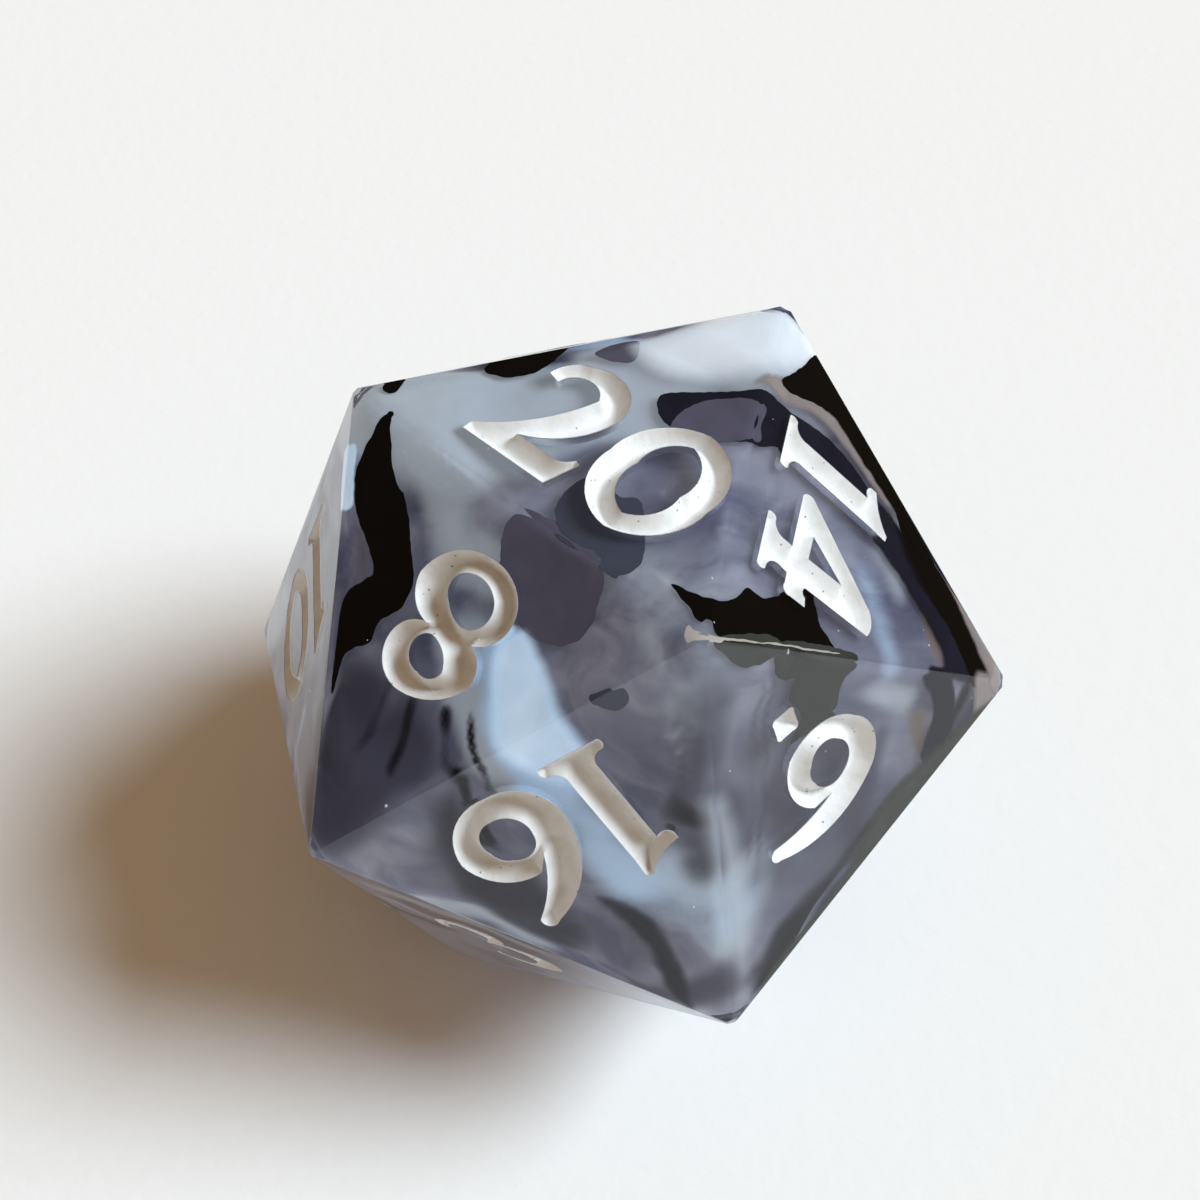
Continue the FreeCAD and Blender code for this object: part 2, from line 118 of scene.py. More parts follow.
# Where each pigment was poured, over the smoky middle: its colour, the stroke's half width and blur, how
# strongly it covers, and the stroke's points as a face and x and y on it. Lengths are in millimetres.
POURS = (
    ("milk", 1.5, 0.9, 0.95, ((8, 6.0, -3.5), (20, -4.6, -2.0), (20, -3.1, -0.2), (20, -1.8, 1.7))),
    ("milk", 1.3, 0.8, 0.95, ((8, 4.5, -3.1), (20, -2.6, -2.8), (20, -1.6, -0.5), (20, -0.4, 1.5))),
    ("milk", 0.9, 0.6, 0.85, ((8, 2.5, -2.6), (8, 1.5, -1.7), (8, 0.0, -1.9))),
    ("milk", 1.5, 0.9, 1.0, ((14, -6.4, -3.1), (20, -0.1, 6.6), (20, -0.6, 5.2), (20, -1.5, 4.0),
                             (20, -2.3, 2.7))),
    ("pearl", 1.3, 0.7, 1.0, ((4, 0.0, 6.8), (4, 0.2, 5.4))),
    ("pearl", 1.3, 0.9, 1.0, ((20, 0.0, 7.9), (20, 0.0, 6.6), (20, -0.5, 5.6))),
    ("milk", 1.1, 0.8, 0.9, ((20, -0.7, 3.2), (20, 0.4, 4.1), (20, 1.2, 5.2))),
    ("milk", 0.35, 0.3, 0.9, ((8, 5.6, -2.1), (8, 4.9, -1.6))),
    ("milk", 0.5, 0.6, 0.3, ((6, 3.2, -2.0), (6, 1.8, -0.4))),
    ("milk", 0.12, 0.15, 0.5, ((20, 3.0, -1.2), (20, 4.2, -2.6), (16, -4.8, -3.6), (16, -4.4, -2.2))),
    ("milk", 0.10, 0.12, 0.5, ((20, 2.2, -1.8), (20, 3.8, -3.4), (16, -3.6, -3.8), (16, -3.4, -2.6))),
    ("milk", 0.09, 0.12, 0.5, ((20, 3.9, -0.8), (20, 5.2, -2.8), (16, -5.4, -2.9))),
    ("milk", 0.12, 0.18, 0.45, ((16, -3.9, -1.6), (16, -2.8, -2.4), (16, -1.9, -2.2))),
    ("milk", 0.6, 0.6, 0.5, ((6, 1.6, 3.1), (6, 0.4, 3.8), (6, 0.5, 4.6))),
    ("milk", 0.25, 0.3, 0.5, ((8, -4.9, -2.7), (16, -5.0, -2.6), (16, -4.8, -1.3))),
    ("milk", 0.4, 0.4, 0.5, ((16, 0.2, 7.4), (16, -0.3, 6.6))),
    ("milk", 0.9, 0.6, 0.9, ((8, -0.6, 0.2), (8, -1.6, 1.0), (16, -0.2, -3.6))),
    ("blue", 0.7, 0.45, 1.0, ((8, -1.7, -0.3), (8, -2.6, 0.6), (16, -0.9, -3.0), (16, -0.7, -1.9))),
    ("blue", 0.7, 0.7, 0.75, ((16, -0.7, -1.9), (16, -0.3, 0.6), (16, -0.4, 2.0))),
    ("blue", 1.3, 1.1, 0.5, ((16, -0.8, 1.8), (16, -1.4, 3.2), (16, -1.5, 4.4))),
    ("blue", 0.6, 0.7, 0.5, ((14, 0.3, 1.5), (14, 1.3, 2.3), (14, 2.3, 2.9))),
    ("milk", 1.3, 1.2, 0.4, ((20, 3.8, -2.3), (20, 5.6, -3.5), (16, -5.0, -1.6))),
    ("milk", 0.9, 0.9, 0.35, ((14, 2.0, -2.5), (14, 3.6, -2.8))),
    ("milk", 0.5, 0.5, 0.85, ((6, -0.7, -2.8), (6, -2.5, -2.6))),
    ("blue", 0.5, 0.6, 0.5, ((6, -0.3, 2.3), (6, 0.3, 2.9), (6, 0.6, 3.9))),
    ("milk", 0.9, 0.8, 0.8, ((16, -1.5, 2.2), (16, -1.9, 3.4), (6, 1.4, 3.4), (6, 0.8, 2.9), (6, 0.6, 4.4))),
    ("ink", 0.3, 0.3, 0.75, ((16, -2.4, 0.5), (16, -2.9, 1.0), (16, -3.5, 1.5))),
    ("ink", 0.45, 0.4, 0.85, ((6, -3.0, 1.7), (6, -2.1, 3.4), (6, -1.3, 4.9), (6, -0.9, 6.0))),
    ("dusk", 0.5, 0.5, 0.7, ((6, -5.0, -2.8), (6, -5.8, -2.2))),
    ("ink", 0.35, 0.5, 0.6, ((16, 1.5, -3.7), (16, 2.1, -3.0), (16, 2.8, -2.4))),
    ("dusk", 0.4, 0.4, 0.6, ((16, -5.4, -1.6), (16, -4.3, 0.3), (16, -3.4, 1.7))),
    ("dusk", 1.3, 0.8, 0.95, ((8, 1.7, 3.6), (8, 0.4, 4.7), (8, -0.8, 3.6), (8, 0.6, 6.2))),
    ("dusk", 0.9, 0.6, 0.9, ((16, 2.7, -2.4), (16, 3.3, -0.3), (16, 2.8, 0.9), (16, 2.5, 2.4))),
    ("dusk", 2.6, 1.2, 0.55, ((6, 1.6, -1.8), (6, 0.2, 0.4), (6, -1.0, 3.0))),
    ("dusk", 0.5, 0.5, 0.5, ((6, 2.8, 0.8), (6, 2.2, 2.2), (6, 2.6, 3.0))),
    ("dusk", 0.8, 0.6, 0.85, ((16, 1.6, 5.6), (16, 0.1, 6.1), (6, 0.4, 5.9))),
    ("ink", 0.19, 0.16, 0.95, ((16, 1.0, -5.1), (16, 1.5, -3.7), (16, 1.2, -3.5), (16, 1.7, -2.6),
                              (16, 2.4, -1.0))),
    ("ink", 0.17, 0.14, 0.95, ((16, 0.2, -4.9), (16, 0.4, -3.5), (16, 0.9, -2.4))),
    ("ink", 0.18, 0.2, 0.85, ((8, 1.0, 2.3), (8, 0.5, 3.8), (8, 0.5, 5.4))),
    ("ink", 0.2, 0.2, 0.85, ((8, -0.2, 2.5), (8, -0.7, 4.2), (16, 4.4, -2.2))),
    ("ink", 0.9, 0.8, 0.55, ((16, 3.6, -1.4), (16, 3.1, 0.6), (16, 2.6, 2.2))),
    ("ink", 0.8, 0.7, 0.4, ((8, 2.2, 4.0), (8, 0.6, 5.8))),
    ("dusk", 0.6, 0.5, 0.6, ((16, -5.1, -2.2), (16, -4.2, -0.5), (16, -2.8, 0.6), (16, -2.4, 2.2))),
    ("dusk", 0.5, 0.5, 0.6, ((6, -2.0, -0.1), (6, -2.2, -1.4), (6, -1.8, 1.1))),
    ("dusk", 0.7, 0.5, 0.9, ((6, -6.0, -2.4), (6, -4.6, 0.4), (6, -3.4, 2.4), (6, -1.7, 5.4))),
    ("dusk", 2.2, 1.4, 0.15, ((14, 0.6, -1.6), (14, 2.2, -0.4))),
    ("ink", 0.3, 0.25, 0.95, ((14, -2.2, 2.8), (14, -1.1, 4.6), (14, 0.6, 5.9), (6, -5.0, -1.8))),
    ("ink", 0.35, 0.3, 0.95, ((6, -3.6, 2.6), (6, -2.6, 3.8), (6, -1.9, 5.2))),
    ("ink", 0.35, 0.35, 0.9, ((6, -1.7, 4.6), (6, -0.8, 5.4), (6, -0.6, 6.7))),
    ("ink", 0.3, 0.35, 0.8, ((16, -2.8, 0.3), (16, -3.1, 1.2))),
    ("ink", 0.3, 0.35, 0.7, ((16, 2.3, 4.2), (16, 1.4, 5.2))),
    ("earth", 0.3, 0.25, 0.9, ((14, -1.5, 1.8), (14, -0.4, 3.6), (14, 1.4, 4.8))),
    ("earth", 0.4, 0.3, 0.8, ((6, -3.3, -2.2), (6, -4.4, -1.2), (14, -1.4, 5.6))),
    ("earth", 0.4, 0.4, 0.5, ((8, 4.7, -0.6), (8, 4.0, 0.3), (8, 3.6, 1.1))),
    ("earth", 0.8, 0.6, 0.5, ((10, -3.0, -3.6), (10, 0.0, -0.8), (10, 1.5, 1.8), (10, 2.9, -1.1))),
    ("earth", 0.6, 0.5, 0.6, ((3, -0.4, 0.7), (3, -1.0, 2.6), (3, 0.7, -1.1), (3, 2.5, -3.1))),
)

# Fine folds that the smoke settled in: a face, how many, and the first and last of them, in millimetres.
FOLDS = (
    (20, 6, ((1.9, 0.6), (3.0, -0.4), (4.6, -1.0), (6.2, -2.2)),
     ((2.3, -1.6), (3.2, -2.9), (4.6, -3.6), (6.4, -3.9))),
    (16, 7, ((-5.4, -3.5), (-4.2, -2.0), (-2.6, -1.2), (-0.8, -0.4)),
     ((-5.4, -3.0), (-4.3, -1.0), (-3.0, 0.6), (-1.7, 2.2))),
    (14, 5, ((-1.2, -3.1), (0.4, -2.9), (2.2, -3.4), (3.6, -4.6)), ((-0.4, -1.6), (0.9, -1.7), (2.2, -2.4), (3.0, -3.4))),
    (6, 5, ((4.2, -2.6), (2.6, -0.6), (2.2, 1.2), (1.2, 3.6)), ((3.4, -2.6), (1.9, -0.7), (1.2, 1.4), (0.4, 3.4))),
    (8, 5, ((0.0, 2.1), (-0.6, 3.4), (-0.7, 4.8), (0.2, 6.2)), ((2.0, 1.9), (1.6, 3.3), (1.4, 4.6), (1.0, 6.3))),
)

# The films that set between two pours: the node each stands for, its material, the face that its outline
# is drawn on, how deep it lies, how far its edge fades, and the outline. Lengths are in millimetres.
# Where an outline passes the face's edge, the film bends round with it.
FILMS = (
    ("ink_curtain", "ink", 8, 0.65, 0, (
        (5.0, -3.6), (4.5, -3.1), (3.7, -2.2), (3.3, -2.0), (2.5, -1.1), (1.8, -0.3), (1.7, 0.5),
        (2.1, 1.2), (2.0, 1.8), (2.5, 2.5), (2.3, 3.7), (2.7, 3.5), (3.2, 2.5), (3.6, 1.6), (3.4, 0.9),
        (3.1, 0.4), (3.2, 0.0), (4.5, -1.1), (4.9, -1.8), (5.0, -2.4))),
    ("ink_patch_upper", "ink", 14, 0.65, 0, (
        (5.0, -4.6), (4.9, -3.6), (4.4, -2.9), (3.8, -2.6), (3.7, -2.0), (3.1, -1.4), (2.6, -0.6),
        (2.6, -0.2), (3.0, 0.0), (3.3, 0.5), (3.6, 0.8), (4.6, -1.1), (5.7, -3.0), (5.5, -3.4),
        (5.7, -3.6), (5.4, -4.0))),
    ("ink_patch_lower", "olive_ink", 6, 0.62, 0, (
        (3.3, -3.7), (3.3, -3.0), (2.8, -2.8), (2.4, -2.9), (2.3, -2.3), (1.6, -1.9), (1.6, -1.1),
        (1.1, -0.9), (1.0, -1.5), (0.4, -2.2), (0.5, -3.0), (0.3, -3.6))),
    ("ink_haze", "slate_haze", 20, 0.68, 0, (
        (0.5, -2.8), (0.4, -1.5), (1.5, -1.4), (2.1, -1.2), (3.4, -2.6), (3.4, -3.4), (2.9, -3.5),
        (2.4, -3.3), (1.4, -3.4))),
    ("ink_plume", "navy", 16, 0.68, 0.5, (
        (0.9, 1.8), (0.3, 2.0), (-0.2, 3.2), (-0.1, 4.6), (0.4, 5.9), (0.9, 7.0), (1.0, 5.4), (0.7, 3.9))),
    ("ink_rim", "ink", 20, 0.2, 0, (
        (-4.6, -0.2), (-4.9, 0.9), (-3.9, 2.4), (-3.4, 1.6), (-3.2, 0.6), (-3.5, -0.2), (-4.2, -0.6))),
    ("ink_crescent", "ink", 14, 0.2, 0, (
        (-3.3, -3.0), (-4.5, -2.5), (-5.9, -1.9), (-5.4, -0.9), (-4.5, 0.5), (-3.3, 2.3), (-2.1, 3.8),
        (-1.8, 3.1), (-2.6, 1.8), (-3.3, 0.3), (-3.9, -1.2))),
    ("white_cloud", "milk", 20, 0.72, 1.2, (
        (-6.4, -3.4), (-5.0, -0.6), (-3.2, 1.8), (-1.4, 2.4), (-0.4, 0.6), (-0.8, -1.8), (-1.4, -4.2),
        (-4.0, -4.6))),
    ("white_cap", "pearl", 20, 0.4, 1.6, (
        (-2.6, 3.2), (-1.2, 6.0), (0.0, 8.4), (1.9, 7.0), (1.6, 4.6), (0.2, 2.9), (-1.2, 2.4))),
    ("white_wisp", "milk", 6, 0.72, 1.6, (
        (3.4, 0.2), (2.1, 1.4), (0.6, 3.6), (-0.1, 5.6), (0.9, 5.6), (2.8, 2.8), (4.2, 0.8))),
    (None, "blue", 8, 0.4, 0.2, (
        (5.9, -2.0), (5.3, -2.4), (4.9, -1.8), (4.4, -1.0), (4.9, -0.7))),
    ("blue_cloud", "blue", 16, 0.7, 0.85, (
        (-2.4, -6.6), (-2.5, -5.2), (-2.2, -3.6), (-1.9, -1.9), (-0.5, -1.6), (0.4, -3.4), (-0.1, -5.0),
        (-1.0, -6.6))),
    ("ink_veil_back", "navy", 4, 0.66, 0.5, (
        (-3.6, -3.4), (-2.8, -0.6), (-3.2, 2.0), (-1.2, 3.4), (0.6, 1.2), (0.2, -1.8), (-1.4, -3.6))),
    ("ink_veil_low", "ink", 7, 0.66, 0.1, (
        (2.8, -3.2), (3.6, -1.0), (2.4, 0.6), (2.6, 2.4), (1.0, 3.6), (0.2, 1.4), (1.2, -0.8), (0.8, -2.8))),
    ("white_veil_back", "milk", 12, 0.7, 1.0, (
        (-4.4, -3.6), (-3.4, 0.2), (-0.8, 3.6), (1.0, 2.2), (-0.4, -0.8), (-0.6, -3.6))),
    ("white_veil_low", "milk", 9, 0.7, 1.0, (
        (-3.8, -3.2), (-2.2, 0.8), (0.4, 4.2), (2.0, 1.8), (0.8, -1.6), (-1.0, -3.4))),
    (None, "lilac_haze", 20, 0.74, 0, (
        (-0.2, -4.1), (-0.1, -3.5), (0.6, -3.3), (1.3, -3.2), (2.9, -3.5), (3.5, -4.3), (3.8, -4.9),
        (3.8, -5.8), (3.0, -6.4), (1.8, -6.3), (0.4, -5.2))),
    (None, "slate_haze", 20, 0.68, 0, (
        (5.6, -7.0), (5.6, -6.5), (5.9, -5.9), (6.4, -6.2), (6.4, -6.8))),
    (None, "ink", 20, 0.2, 0, (
        (-6.0, -2.7), (-5.7, -2.3), (-5.3, -2.8), (-5.6, -3.0))),
    (None, "lilac_haze", 20, 0.6, 0, (
        (-2.9, 2.3), (-3.0, 3.2), (-2.5, 3.7), (-1.8, 2.8), (-2.3, 2.3))),
    (None, "navy", 14, 0.7, 0, (
        (-1.3, -6.3), (-0.8, -4.7), (-0.9, -3.4), (-1.5, -2.6), (-2.1, -1.2), (-2.2, 0.1), (-1.8, 1.2),
        (-2.1, 1.9), (-2.8, 0.9), (-3.3, -0.8), (-2.9, -2.7), (-2.8, -3.7), (-2.8, -5.1), (-2.6, -6.8))),
    (None, "lilac_haze", 14, 0.62, 0, (
        (-2.3, -3.4), (-2.5, -4.3), (-2.3, -5.2), (-1.4, -6.0), (-0.4, -5.7), (-0.6, -4.6), (-0.8, -3.8),
        (-1.1, -3.3), (-1.6, -3.4))),
    (None, "navy", 14, 0.66, 0.3, (
        (-1.3, 1.1), (-0.9, 1.9), (-0.6, 2.7), (-0.2, 3.4), (0.3, 4.0), (0.9, 4.5), (1.4, 4.8), (0.4, 6.4),
        (-0.4, 5.7), (-1.1, 4.9), (-1.7, 4.0), (-2.2, 3.1), (-2.7, 1.7), (-2.5, 1.0))),
    (None, "tan_haze", 14, 0.3, 0.3, (
        (-3.1, -3.8), (-3.9, -2.6), (-4.3, -0.8), (-3.9, 0.6), (-2.9, 2.1), (-2.5, 1.5), (-3.1, -0.1),
        (-3.4, -1.5), (-2.8, -2.9))),
    (None, "ink", 14, 0.28, 0.15, (
        (-2.7, 2.0), (-2.2, 3.8), (-1.0, 5.4), (0.0, 6.8), (0.8, 5.9), (-0.3, 4.5), (-1.4, 2.9))),
    (None, "tan_haze", 14, 0.15, 0.3, (
        (-1.9, 4.2), (-1.1, 5.9), (-0.1, 7.7), (0.5, 6.7), (-0.5, 5.4))),
    (None, "navy", 6, 0.35, 0.2, (
        (-2.5, -3.4), (-3.6, -3.6), (-4.5, -2.3), (-4.6, -0.9), (-3.8, -1.0), (-3.5, -2.4))),
    (None, "tan_haze", 6, 0.2, 0.3, (
        (-4.7, -3.6), (-5.9, -3.6), (-6.2, -1.8), (-5.7, -1.0), (-5.2, -2.4))),
    (None, "olive_ink", 6, 0.17, 0.6, (
        (-6.8, -3.0), (-5.5, -0.2), (-4.1, 2.2), (-2.7, 4.7), (-1.2, 7.0), (-0.6, 6.6), (-0.7, 5.4),
        (-1.3, 4.2), (-2.1, 2.9), (-2.4, 1.0), (-3.0, -0.2), (-4.3, -1.6), (-5.3, -2.8))),
    # Not pigment: a painted highlight, a cream line along the edge where faces 14 and 6 meet, with a pale spot at
    # one end.
    (None, "glint", 14, 0.14, 0, (
        (6.35, -3.75), (5.95, -3.9), (5.9, -3.4), (4.77, -1.5), (3.6, 0.5), (3.64, 0.52), (4.83, -1.5),
        (6.05, -3.45))),
    (None, "olive_ink", 6, 0.6, 0, (
        (5.7, -3.5), (5.2, -3.2), (4.7, -3.0), (4.2, -3.0), (3.7, -3.2), (3.3, -3.7), (4.4, -3.8))),
    (None, "ink", 18, 0.65, 0, (
        (-5.2, -3.4), (-3.9, -3.0), (-3.4, -1.8), (-2.5, -1.9), (-2.2, -0.6), (-2.9, 0.4), (-2.6, 1.9),
        (-3.3, 2.0), (-3.7, 0.6), (-4.3, -0.8), (-4.6, -2.2))),
    (None, "ink", 12, 0.65, 0, (
        (1.6, 4.6), (2.4, 2.6), (3.0, 1.9), (3.6, 0.2), (4.7, -1.2), (3.9, -1.4), (3.1, -0.6), (2.4, 0.4),
        (2.0, 1.6), (1.3, 2.4), (0.9, 3.6))),
    (None, "ink", 9, 0.65, 0, (
        (3.9, -3.2), (3.2, -2.2), (3.4, -0.9), (2.5, 0.1), (2.3, 1.6), (1.5, 2.2), (1.9, 0.6), (1.6, -0.8),
        (2.3, -1.9), (2.6, -3.3))),
    (None, "navy", 15, 0.66, 0.3, (
        (-4.9, -3.4), (-3.2, -2.2), (-1.7, -2.6), (-0.4, -1.4), (-1.2, -0.7), (-2.4, -1.2), (-3.6, -1.0),
        (-4.7, -2.0))),
    (None, "lilac_haze", 5, 0.68, 0, (
        (0.4, -3.4), (0.2, -1.6), (1.3, -0.9), (2.4, -1.5), (3.6, -1.2), (4.1, -2.6), (3.2, -3.6),
        (1.8, -3.1))),
    (None, "slate_haze", 13, 0.68, 0, (
        (-1.6, 1.9), (-0.4, 3.4), (0.9, 2.8), (1.4, 1.4), (0.6, 0.3), (-0.6, 0.8), (-1.9, 0.6))),
)


def linear(code):
    """An sRGB hex colour as linear red, green and blue."""
    channels = [int(code[i:i + 2], 16) / 255 for i in (1, 3, 5)]
    return tuple(c / 12.92 if c <= 0.04045 else ((c + 0.055) / 1.055) ** 2.4 for c in channels)


def corner(name):
    """The place of one of the die's sharp corners."""
    radius, height = LEVELS[name[0]]
    angle = math.radians(int(name[1:]))
    return Vector((radius * math.cos(angle), radius * math.sin(angle), height)) * HALF


def face_frame(number):
    """A matrix from a face's own frame: origin at its centre, x right and y up its numeral, z outwards."""
    corners = [corner(name) for name in FACES[number]]
    centre = sum(corners, Vector()) / 3
    outwards = (centre - MIDDLE).normalized()
    upwards = (corners[0] - centre).normalized()
    right = upwards.cross(outwards)
    turn = Matrix((right, upwards, outwards)).transposed().to_4x4()
    return Matrix.Translation(centre) @ turn


def under(number, x, y, depth):
    """The point that lies depth below a face, at x and y on it, all in millimetres."""
    return face_frame(number) @ Vector((x * MM, y * MM, -depth * MM))


def add_piece(name, mesh, material, replaced=()):
    """Links a mesh as a piece of the die that rides on its body, and hides the CAD parts that it replaces."""
    piece = bpy.data.objects.new(name, mesh)
    bpy.context.scene.collection.objects.link(piece)
    mesh.materials.clear()
    mesh.materials.append(material)
    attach(piece, BODY)
    if replaced:
        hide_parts(*replaced)
    return piece


def node(tree, kind, settings=None, **inputs):
    """Adds a node, with settings for its properties and inputs by name, as values or as sockets to link."""
    made = tree.nodes.new(kind)
    for key, value in (settings or {}).items():
        setattr(made, key, value)
    for key, value in inputs.items():
        socket = made.inputs[int(key[1:])] if key[0] == "_" else made.inputs[key.replace("_", " ")]
        if isinstance(value, bpy.types.NodeSocket):
            tree.links.new(value, socket)
        else:
            socket.default_value = value
    return made


def new_material(name):
    """An empty node material, with its tree and output."""
    material = bpy.data.materials.new(name)
    material.use_nodes = True
    tree = material.node_tree
    tree.nodes.clear()
    output = tree.nodes.new("ShaderNodeOutputMaterial")
    return material, tree, output


def millimetres(tree):
    """The surface's place on the die, in millimetres."""
    place = node(tree, "ShaderNodeTexCoord").outputs["Object"]
    scaled = node(tree, "ShaderNodeVectorMath", {"operation": "SCALE"}, _0=place, Scale=1 / MM)
    return scaled.outputs["Vector"]


# ---------------------------------------------------------------- materials

def casting_resin(colours):
    """Clear epoxy casting resin, demoulded and polished: glass-clear with a faint smoky tint that deepens
    with thickness, and a gloss broken by very fine polishing waves."""
    material, tree, output = new_material("casting_resin")
    place = millimetres(tree)
    waves = node(tree, "ShaderNodeTexNoise", Vector=place, Scale=0.35, Detail=2.0, Roughness=0.5)
    polish = node(tree, "ShaderNodeBump", Strength=0.05, Distance=0.02 * MM, Height=waves.outputs["Fac"])
    clear = node(tree, "ShaderNodeBsdfPrincipled", Base_Color=(*colours.resin, 1), Roughness=0.015,
                 IOR=1.5, Transmission_Weight=1.0, Normal=polish.outputs["Normal"])
    open_way = node(tree, "ShaderNodeBsdfTransparent", Color=(*colours.resin, 1))
    path = node(tree, "ShaderNodeLightPath")
    soft_light = node(tree, "ShaderNodeMath", {"operation": "MAXIMUM"},
                      _0=path.outputs["Is Shadow Ray"], _1=path.outputs["Is Diffuse Ray"])
    mixed = node(tree, "ShaderNodeMixShader", Fac=soft_light.outputs[0], _1=clear.outputs[0],
                 _2=open_way.outputs[0])
    tint = node(tree, "ShaderNodeVolumeAbsorption", Color=(*colours.smoke_tint, 1), Density=110.0)
    tree.links.new(mixed.outputs[0], output.inputs["Surface"])
    tree.links.new(tint.outputs[0], output.inputs["Volume"])
    return material


def wiped_paint(colours):
    """White acrylic paint wiped into the engraving: satin, with faint brush marks, pits and a greyer
    film where it is thin. Its back, which clings to the resin, turns smoke grey and has a painted glow, so that it
    matches the smoky middle round it."""
    material, tree, output = new_material("wiped_acrylic_paint")
    place = millimetres(tree)
    grain = node(tree, "ShaderNodeTexNoise", Vector=place, Scale=9.0, Detail=5.0, Roughness=0.6)
    patches = node(tree, "ShaderNodeTexNoise", Vector=place, Scale=1.4, Detail=3.0, Roughness=0.55)
    thin = node(tree, "ShaderNodeMapRange", Value=patches.outputs["Fac"], From_Min=0.35, From_Max=0.7)
    colour = node(tree, "ShaderNodeMix", {"data_type": "RGBA"}, Factor=thin.outputs[0],
                  _6=(*colours.paint, 1), _7=(*colours.paint_thin, 1))
    cells = node(tree, "ShaderNodeTexVoronoi", Vector=place, Scale=2.6, Randomness=1.0)
    pits = node(tree, "ShaderNodeMapRange", Value=cells.outputs["Distance"], From_Min=0.05, From_Max=0.11,
                To_Min=0.75, To_Max=0.0)
    colour = node(tree, "ShaderNodeMix", {"data_type": "RGBA"}, Factor=pits.outputs[0],
                  _6=colour.outputs[2], _7=(*colours.dusk, 1))
    # On the paint's back: smoke grey, and a painted glow in that colour.
    behind = node(tree, "ShaderNodeAttribute", {"attribute_name": "behind"}).outputs["Fac"]
    grey_back_and_glow = node(tree, "ShaderNodeMapRange", {"interpolation_type": "SMOOTHSTEP"}, Value=behind,
                  From_Max=0.7)
    painted_glow = node(tree, "ShaderNodeMath", {"operation": "MULTIPLY"}, _0=grey_back_and_glow.outputs[0], _1=PAINTED_GLOW)
    colour = node(tree, "ShaderNodeMix", {"data_type": "RGBA"}, Factor=grey_back_and_glow.outputs[0],
                  _6=colour.outputs[2], _7=(*colours.paint_back, 1))
    rough = node(tree, "ShaderNodeMapRange", Value=grain.outputs["Fac"], To_Min=0.38, To_Max=0.62)
    relief = node(tree, "ShaderNodeBump", Strength=0.5, Distance=0.02 * MM, Height=grain.outputs["Fac"])
    paint = node(tree, "ShaderNodeBsdfPrincipled", Base_Color=colour.outputs[2],
                 Roughness=rough.outputs[0], IOR=1.48, Normal=relief.outputs["Normal"],
                 Emission_Color=(*colours.paint_back, 1), Emission_Strength=painted_glow.outputs[0])
    tree.links.new(paint.outputs[0], output.inputs["Surface"])
    return material


def stirred_pigment(colours):
    """Pigments stirred into resin before it set: matt, with a painted glow that stands in for light scattering
    through them. The streaks run the way that the mould was filled. Each pour's own amount is an attribute."""
    material, tree, output = new_material("stirred_pigment")
    place = millimetres(tree)
    stir = node(tree, "ShaderNodeTexNoise", Vector=place, Scale=0.2, Detail=3.0, Roughness=0.5)
    shift = node(tree, "ShaderNodeVectorMath", {"operation": "MULTIPLY_ADD"}, _0=stir.outputs["Color"],
                 _1=(2.6, 2.6, 2.6), _2=place)
    along = node(tree, "ShaderNodeVectorRotate", {"rotation_type": "EULER_XYZ"}, Vector=shift.outputs[0],
                 Rotation=(0.75, 0.55, 0.3))
    drawn = node(tree, "ShaderNodeVectorMath", {"operation": "MULTIPLY"}, _0=along.outputs[0],
                 _1=(1.0, 0.22, 1.0))
    broad = node(tree, "ShaderNodeTexNoise", Vector=shift.outputs[0], Scale=0.16, Detail=2.0, Roughness=0.5)
    streaks = node(tree, "ShaderNodeTexNoise", Vector=drawn.outputs[0], Scale=0.75, Detail=4.0,
                   Roughness=0.5, Distortion=0.4)
    blend = node(tree, "ShaderNodeMix", {"data_type": "FLOAT"}, Factor=0.45, _2=broad.outputs["Fac"],
                 _3=streaks.outputs["Fac"])
    ramp = node(tree, "ShaderNodeValToRGB", Fac=blend.outputs[0])
    stops = ramp.color_ramp.elements
    stops[0].position, stops[0].color = 0.40, (*colours.smoke_deep, 1)
    stops[1].position, stops[1].color = 0.59, (*colours.haze, 1)
    middle = stops.new(0.49)
    middle.color = (*colours.smoke, 1)
    colour = ramp.outputs["Color"]
    for pigment in PIGMENTS:
        amount = node(tree, "ShaderNodeAttribute", {"attribute_name": pigment}).outputs["Fac"]
        ragged = node(tree, "ShaderNodeMath", {"operation": "MULTIPLY_ADD"}, _0=streaks.outputs["Fac"],
                      _1=0.5, _2=-0.25)
        torn = node(tree, "ShaderNodeMath", {"operation": "ADD"}, _0=amount, _1=ragged.outputs[0])
        cover = node(tree, "ShaderNodeMapRange", {"interpolation_type": "SMOOTHSTEP"},
                     Value=torn.outputs[0], From_Min=0.12, From_Max=0.95)
        layer = node(tree, "ShaderNodeMix", {"data_type": "RGBA"}, Factor=cover.outputs[0], _6=colour,
                     _7=(*getattr(colours, pigment), 1))
        colour = layer.outputs[2]
    # Painted glow: the pigment gives off its own colour, tinted a little cool.
    painted_glow = node(tree, "ShaderNodeVectorMath", {"operation": "MULTIPLY"}, _0=colour, _1=PAINTED_GLOW_TINT)
    body = node(tree, "ShaderNodeBsdfPrincipled", Base_Color=colour, Roughness=0.9,
                Specular_IOR_Level=0.0, Subsurface_Weight=1.0, Subsurface_Scale=2.2 * MM,
                Subsurface_Radius=(1.0, 1.0, 1.0), Emission_Color=painted_glow.outputs[0],
                Emission_Strength=PAINTED_GLOW)
    tree.links.new(body.outputs[0], output.inputs["Surface"])
    return material


